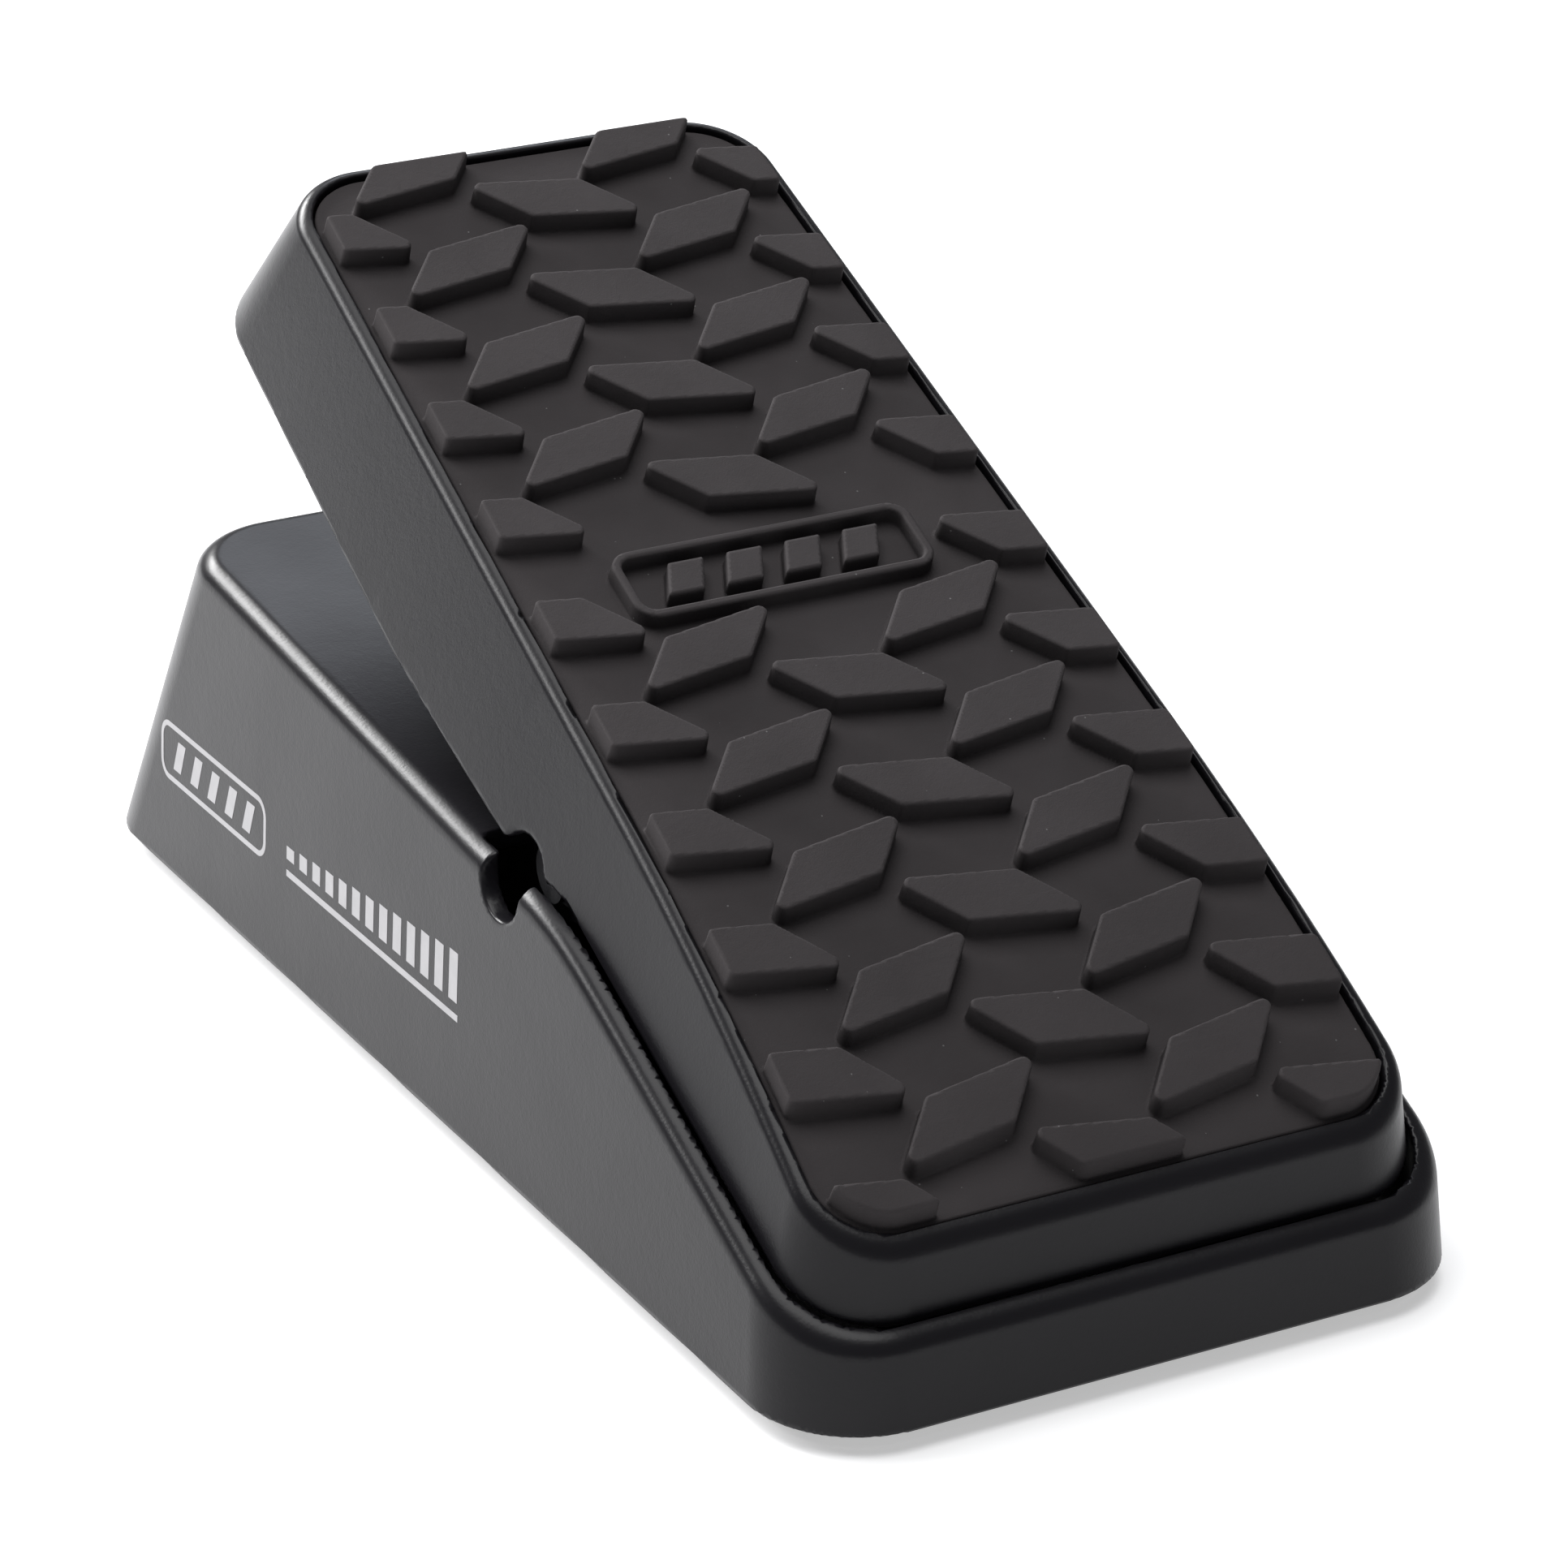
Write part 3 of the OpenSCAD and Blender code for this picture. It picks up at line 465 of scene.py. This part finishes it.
def material(name, colour, rough, metal=0.0, spread=0.12, patch=60, rough_spread=0.06, grains=(), stretch=None,
             specular=0.5, specks=None):
    """colour is sRGB 0-255, varied by spread over patches of scale patch per metre; grains are
    (scale per metre, strength, height in metres); specks are (scale, rarity, brightness, strength)."""
    m = bpy.data.materials.new(name)
    m.use_nodes = True
    tree = m.node_tree
    new, link = tree.nodes.new, tree.links.new
    shader = next(n for n in tree.nodes if n.type == "BSDF_PRINCIPLED")
    shader.inputs["Metallic"].default_value = metal
    shader.inputs["Specular IOR Level"].default_value = specular
    where = new("ShaderNodeTexCoord").outputs["Object"]
    if stretch:
        mapping = new("ShaderNodeMapping")
        mapping.inputs["Scale"].default_value = stretch
        link(where, mapping.inputs["Vector"])
        where = mapping.outputs["Vector"]

    def noise(scale, detail=3.0):
        n = new("ShaderNodeTexNoise")
        n.inputs["Scale"].default_value = scale
        n.inputs["Detail"].default_value = detail
        n.inputs["Roughness"].default_value = 0.55
        link(where, n.inputs["Vector"])
        return n.outputs["Fac"]

    def maths(operation, a, b):
        """a is a socket, b a socket or a number."""
        n = new("ShaderNodeMath")
        n.operation = operation
        link(a, n.inputs[0])
        if isinstance(b, float):
            n.inputs[1].default_value = b
        else:
            link(b, n.inputs[1])
        return n.outputs[0]

    rgb = [linear(c) for c in colour]
    ramp = new("ShaderNodeValToRGB")
    ramp.color_ramp.elements[0].position, ramp.color_ramp.elements[1].position = 0.3, 0.7
    ramp.color_ramp.elements[0].color = [c * (1 - spread) for c in rgb] + [1]
    ramp.color_ramp.elements[1].color = [min(1, c * (1 + spread)) for c in rgb] + [1]
    link(noise(patch), ramp.inputs["Fac"])
    out = ramp.outputs["Color"]
    if specks:
        size, cut, tint, amount = specks
        dots = new("ShaderNodeTexVoronoi")
        dots.inputs["Scale"].default_value = size
        link(where, dots.inputs["Vector"])
        some = new("ShaderNodeSeparateColor")
        link(dots.outputs["Color"], some.inputs["Color"])
        near = maths("LESS_THAN", dots.outputs["Distance"], 0.16)
        picked = maths("GREATER_THAN", some.outputs["Red"], cut)
        mix = new("ShaderNodeMix")
        mix.data_type = "RGBA"
        mix.inputs[7].default_value = (tint, tint, tint, 1)
        link(maths("MULTIPLY", maths("MULTIPLY", near, picked), amount), mix.inputs[0])
        link(out, mix.inputs[6])
        out = mix.outputs[2]
    link(out, shader.inputs["Base Color"])
    worn = new("ShaderNodeMapRange")
    for socket, value in (("From Min", 0.3), ("From Max", 0.7), ("To Min", rough - rough_spread),
                          ("To Max", rough + rough_spread)):
        worn.inputs[socket].default_value = value
    link(noise(patch * 2.3), worn.inputs["Value"])
    link(worn.outputs["Result"], shader.inputs["Roughness"])
    last = None
    for scale, strength, height in grains:
        bump = new("ShaderNodeBump")
        bump.inputs["Strength"].default_value = strength
        bump.inputs["Distance"].default_value = height
        link(noise(scale, 2.0), bump.inputs["Height"])
        if last:
            link(last, bump.inputs["Normal"])
        last = bump.outputs["Normal"]
    if last:
        link(last, shader.inputs["Normal"])
    return m


FINISH = {
    "black_paint": material("satin_black_paint", (19, 18, 21), 0.31, spread=0.06, patch=35, rough_spread=0.02,
                            specular=0.2, grains=((2600, 0.28, 0.00006), (700, 0.16, 0.00012))),
    "plate_steel": material("plate_paint", (24, 24, 25), 0.55, spread=0.12, patch=40,
                            grains=((3000, 0.5, 0.00008),)),
    "zinc_steel": material("zinc_plating", (132, 133, 137), 0.4, 1.0, spread=0.14, patch=220,
                           grains=((1800, 0.25, 0.00003),)),
    "screw_black": material("black_oxide", (30, 30, 32), 0.36, spread=0.15, patch=300,
                            grains=((2600, 0.25, 0.00003),)),
    "rubber": material("pad_rubber", (38, 37, 38), 0.8, spread=0.15, patch=120, specular=0.35,
                       grains=((4200, 0.5, 0.00006), (900, 0.2, 0.0001))),
    "tread_rubber": material("tread_rubber", (53, 50, 51), 0.8, spread=0.1, patch=55, rough_spread=0.05,
                             specular=0.12, grains=((5200, 0.55, 0.00005), (1100, 0.25, 0.00012)),
                             specks=(1300, 0.988, 0.22, 0.4)),
    "black_nylon": material("black_nylon", (34, 34, 36), 0.55, spread=0.1, patch=150,
                            grains=((2600, 0.3, 0.00004),)),
    "jack_plastic": material("jack_moulding", (32, 32, 34), 0.42, spread=0.1, patch=140,
                             grains=((3000, 0.3, 0.00003),)),
    "board_green": material("board_mask", (20, 74, 44), 0.35, spread=0.25, patch=900,
                            grains=((1500, 0.3, 0.00004),)),
    "part_plastic": material("component_moulding", (36, 37, 42), 0.45, spread=0.3, patch=160,
                             grains=((2500, 0.25, 0.00004),)),
    "bracket_steel": material("bracket_steel", (176, 178, 182), 0.38, 1.0, spread=0.12, patch=90,
                              stretch=(1, 0.08, 1), grains=((2200, 0.25, 0.00003),)),
    "pot_metal": material("pot_can", (170, 166, 150), 0.36, 1.0, spread=0.12, patch=130,
                          grains=((1600, 0.25, 0.00003),)),
    "wire_plastic": material("wire_sleeve", (120, 20, 16), 0.45, spread=0.12, patch=300,
                             grains=((2400, 0.2, 0.00003),)),
    "axle_steel": material("axle_steel", (140, 141, 145), 0.34, 1.0, spread=0.08, patch=80, stretch=(6, 1, 1),
                           grains=((3000, 0.15, 0.00002),)),
    "sector_aluminium": material("milled_aluminium", (196, 198, 202), 0.36, 1.0, spread=0.08, patch=110,
                                 stretch=(1, 1, 9), grains=((1400, 0.25, 0.00003),)),
    "band_steel": material("band_steel", (200, 202, 206), 0.26, 1.0, spread=0.07, patch=160,
                           grains=((2600, 0.15, 0.00002),)),
    "drum_brass": material("drum_brass", (206, 172, 100), 0.32, 1.0, spread=0.1, patch=160, stretch=(8, 1, 1),
                           grains=((1600, 0.2, 0.00003),)),
    "shaft_aluminium": material("turned_aluminium", (200, 202, 204), 0.34, 1.0, spread=0.08, patch=120,
                                stretch=(8, 1, 1), grains=((1600, 0.2, 0.00003),)),
}

SLOT = {s["node"]: s["material_slot"] for s in frame["record"]["subparts"]}


def finish(obj, slot):
    obj.data.materials.clear()
    obj.data.materials.append(FINISH[slot])
    return obj


for piece, body, node in ((base, "base", "base_casting"), (treadle, "treadle", "treadle_casting"),
                          (mat, "treadle", "tread_mat")):
    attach(piece, body)
    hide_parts(node)
    finish(piece, SLOT[node])


# ---- turned parts: a closed outline of (radius, height) swept round an axis ----

def frame_at(at, axis):
    """Matrix with its Z along the axis, in metres."""
    m = Vector(axis).to_track_quat("Z", "Y").to_matrix().to_4x4()
    m.translation = Vector(at) * MM
    return m


def turned(bm, outline, place, around=72):
    """Sweeps the outline round the Z of place."""
    rings = []
    for i in range(around):
        a = 2 * math.pi * i / around
        rings.append([bm.verts.new(place @ Vector((r * MM * math.cos(a), r * MM * math.sin(a), h * MM)))
                      for r, h in outline])
    n = len(outline)
    for i in range(around):
        a, b = rings[i], rings[(i + 1) % around]
        for k in range(n):
            m = (k + 1) % n
            bm.faces.new((a[k], b[k], b[m], a[m]))


def lug(bm, place, lo, hi, soft=0.15):
    """A small tab with softened edges."""
    made = bmesh.ops.create_cube(bm, size=1.0)
    mid, size = (Vector(lo) + Vector(hi)) / 2, Vector(hi) - Vector(lo)
    for v in made["verts"]:
        v.co = place @ (Vector((v.co.x * size.x + mid.x, v.co.y * size.y + mid.y, v.co.z * size.z + mid.z)) * MM)
    edges = list({e for v in made["verts"] for e in v.link_edges})
    bmesh.ops.bevel(bm, geom=edges, offset=soft * MM, segments=2, profile=0.5, affect="EDGES")


def piece_from(bm, name, body, slot_name, stands_for):
    """Ends bm as a visible piece that rides on body and replaces the node stands_for."""
    bmesh.ops.recalc_face_normals(bm, faces=bm.faces)
    mesh = bpy.data.meshes.new(name)
    bm.to_mesh(mesh)
    bm.free()
    mesh.shade_smooth()
    mesh.set_sharp_from_angle(angle=math.radians(32))
    obj = bpy.data.objects.new(name, mesh)
    scene.collection.objects.link(obj)
    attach(obj, body)
    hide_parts(stands_for)
    return finish(obj, slot_name)


def thread(r, z0, z1, pitch, depth):
    """Outline of a threaded length, from z1 down to z0."""
    count = max(1, round((z1 - z0) / pitch))
    step = (z1 - z0) / count
    out = []
    for i in range(count):
        top = z1 - i * step
        out += [(r - depth, top), (r, top - 0.4 * step), (r, top - 0.6 * step)]
    return out + [(r - depth, z0)]


# Bore and chamfered mouth, threaded bushing, body with a groove, and the back with its tab.
SOCKET = [(3.3, -20), (3.3, 4.3), (3.7, 4.85), (3.95, 5.0), (4.45, 5.0)]
SOCKET += thread(4.7, -2.4, 4.85, 0.8, 0.28)
SOCKET += [(6.9, -2.4), (7.4, -2.9), (7.4, -9.0), (7.1, -9.3), (7.1, -9.9), (7.4, -10.2), (7.4, -23.9),
           (6.9, -24.4), (5.0, -24.4), (5.0, -26.1), (4.7, -26.4), (0.9, -26.4), (0.9, -20)]
JACKS = (("input_jack", JACK_X[2]), ("output_jack", JACK_X[0]), ("aux_jack", JACK_X[1]))
for node, cx in JACKS:
    bm = bmesh.new()
    place = frame_at((cx, JACK_Y, JACK_Z), tuple(JACK_N))
    turned(bm, SOCKET, place)
    for s in (-1, 1):
        lug(bm, place, (s * 3.2 - 0.5, -1.2, -29.7), (s * 3.2 + 0.5, 1.2, -26.2))
    piece_from(bm, node + "_moulding", "base", SLOT[node], node)

# A domed foot with a recess for its pin.
RUBBER_FOOT = [(2.0, 1.1), (2.0, 0.35), (2.3, 0.05), (2.7, 0.0), (5.9, 0.0), (6.6, 0.12), (7.15, 0.4),
               (7.5, 0.9), (7.7, 1.5), (7.95, 2.2), (7.95, 2.42), (1.4, 2.42), (1.4, 1.1)]
bm = bmesh.new()
for side in (-1, 1):
    for cx, cy in ((31 * side, -80), (34 * side, 82)):
        turned(bm, RUBBER_FOOT, frame_at((cx, cy, 0), (0, 0, 1)), 64)
piece_from(bm, "moulded_feet", "base", SLOT["rubber_feet"], "rubber_feet")

# The other CAD nodes are shown as they are, with softened edges.
REPLACED = {"base_casting", "treadle_casting", "tread_mat", "rubber_feet"} | {node for node, _ in JACKS}
for name, obj in nodes.items():
    if name in REPLACED:
        continue
    obj.data.materials.clear()
    obj.data.materials.append(FINISH[SLOT[name]])
    weld = obj.modifiers.new("weld", "WELD")
    weld.merge_threshold = 0.005 * MM
    soft = obj.modifiers.new("edge", "BEVEL")
    soft.width = 0.12 * MM
    soft.segments = 2
    soft.limit_method = "ANGLE"
    soft.angle_limit = math.radians(35)


# ---- printed graphic on the side wall: plain shapes only ----

def wall_x(y, z, proud):
    """x of the -X wall at (y, z), moved out by proud."""
    x = np.full_like(y, -50.0)
    for _ in range(6):
        x = x + (base_side(x, y, z) - proud)
    return x


def on_wall(s, h):
    """(y, z) on the wall: s from the print's toe end towards the heel, h up from its lower edge."""
    return 78.0 - s, 15.6 + h + 0.012 * s


def printed(name, parts):
    """Thin ink shapes on the -X wall; each part is an outline of (s, h)."""
    bm = bmesh.new()
    for pts in [[on_wall(s, h) for s, h in part] for part in parts]:
        y, z = np.array([p[0] for p in pts], float), np.array([p[1] for p in pts], float)
        top = [bm.verts.new((a * MM, b * MM, c * MM)) for a, b, c in zip(wall_x(y, z, 0.03), y, z)]
        low = [bm.verts.new((a * MM, b * MM, c * MM)) for a, b, c in zip(wall_x(y, z, -0.05), y, z)]
        bm.faces.new(top)
        bm.faces.new(low[::-1])
        for i in range(len(pts)):
            j = (i + 1) % len(pts)
            bm.faces.new((top[j], top[i], low[i], low[j]))
    bmesh.ops.recalc_face_normals(bm, faces=bm.faces)
    mesh = bpy.data.meshes.new(name)
    bm.to_mesh(mesh)
    bm.free()
    obj = bpy.data.objects.new(name, mesh)
    scene.collection.objects.link(obj)
    mesh.materials.append(INK)
    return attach(obj, "base")


INK = material("white_print", (160, 159, 161), 0.6, spread=0.04, patch=400, grains=((3500, 0.2, 0.00003),))


def arc_points(cs, ch, r, a0, a1, n=10):
    """n steps of an arc round (cs, ch), from a0 to a1 in degrees."""
    return [(cs + r * math.cos(math.radians(a0 + (a1 - a0) * i / n)),
             ch + r * math.sin(math.radians(a0 + (a1 - a0) * i / n))) for i in range(n + 1)]


def ring_parts(s0, s1, h0, h1, r, w):
    """A rounded frame as four strips, so that each outline is simple."""
    centres = ((s1 - r, h1 - r, 0), (s0 + r, h1 - r, 90), (s0 + r, h0 + r, 180), (s1 - r, h0 + r, 270))
    parts = []
    for i, (cs, ch, a) in enumerate(centres):
        ns, nh, na = centres[(i + 1) % 4]
        outer = arc_points(cs, ch, r, a, a + 90) + [arc_points(ns, nh, r, na, na + 90)[0]]
        inner = arc_points(cs, ch, r - w, a, a + 90) + [arc_points(ns, nh, r - w, na, na + 90)[0]]
        parts.append(outer + inner[::-1])
    return parts


emblem = ring_parts(0.5, 34.5, 0.4, 8.8, 2.6, 0.75)
for i in range(5):
    s0 = 4.6 + i * 5.6
    emblem.append([(s0, 2.4), (s0 + 2.4, 2.4), (s0 + 4.0, 6.8), (s0 + 1.6, 6.8)])
printed("side_print_emblem", emblem)

BARS, BAR_STEP, BAR_WIDTH, BAR_FOOT = 13, 3.95, 2.3, 3.4
scale = []
for i in range(BARS):
    s0 = 41.0 + i * BAR_STEP
    top = BAR_FOOT + (1.4 + 5.2 * (i + 1) / BARS)
    scale.append([(s0, BAR_FOOT), (s0 + BAR_WIDTH, BAR_FOOT), (s0 + BAR_WIDTH, top), (s0, top)])
scale.append([(41.0, 1.0), (91.0, 1.0), (91.0, 1.9), (41.0, 1.9)])
printed("side_print_scale", scale)


# ---- camera, floor, light: in metres ----

CAM_AT, CAM_AIM, CAM_LENS = (-0.2943, -0.5707, 0.3212), (0.4248, 0.8085, -0.4074), 128.33
cam_data = bpy.data.cameras.new("camera")
cam_data.lens, cam_data.sensor_width = CAM_LENS, 36
cam_data.clip_start, cam_data.clip_end = 0.01, 30
cam = bpy.data.objects.new("camera", cam_data)
scene.collection.objects.link(cam)
cam.location = CAM_AT
cam.rotation_mode = "QUATERNION"
cam.rotation_quaternion = Vector(CAM_AIM).to_track_quat("-Z", "Y")
scene.camera = cam

bm = bmesh.new()
bmesh.ops.create_grid(bm, x_segments=24, y_segments=24, size=4.0)
floor_mesh = bpy.data.meshes.new("floor")
bm.to_mesh(floor_mesh)
bm.free()
floor = bpy.data.objects.new("floor", floor_mesh)
scene.collection.objects.link(floor)
pale = material("pale_floor", (205, 205, 206), 0.7, spread=0.004, patch=3, specular=0.1)
# A little light of its own keeps the floor white right up to the object.
glow = next(n for n in pale.node_tree.nodes if n.type == "BSDF_PRINCIPLED")
glow.inputs["Emission Color"].default_value = (1, 1, 1, 1)
glow.inputs["Emission Strength"].default_value = 0.45
floor_mesh.materials.append(pale)


def area(name, at, power, size, size_y, colour=(1, 1, 1)):
    """A soft light at a place, aimed at the pedal."""
    data = bpy.data.lights.new(name, "AREA")
    data.shape = "RECTANGLE"
    data.size, data.size_y = size, size_y
    data.energy = power
    data.color = colour
    obj = bpy.data.objects.new(name, data)
    scene.collection.objects.link(obj)
    obj.location = at
    obj.rotation_mode = "QUATERNION"
    obj.rotation_quaternion = (Vector((0, 0, 0.05)) - Vector(at)).to_track_quat("-Z", "Y")


area("top_softbox", (-0.1, 0.02, 1.35), 19, 1.1, 1.1)
area("back_strip", (-0.45, 1.2, 0.82), 34, 0.9, 0.35)
area("back_softbox", (0.76, 1.27, 1.03), 5, 0.9, 0.6, (0.88, 0.92, 1.0))
area("left_softbox", (-0.98, 0.63, 0.77), 7, 0.5, 0.3)

world = bpy.data.worlds.new("world")
scene.world = world
world.use_nodes = True
sky = world.node_tree.nodes["Background"]
sky.inputs["Color"].default_value = (0.95, 0.97, 1.0, 1)
sky.inputs["Strength"].default_value = 0.2
scene.view_settings.view_transform = "Standard"
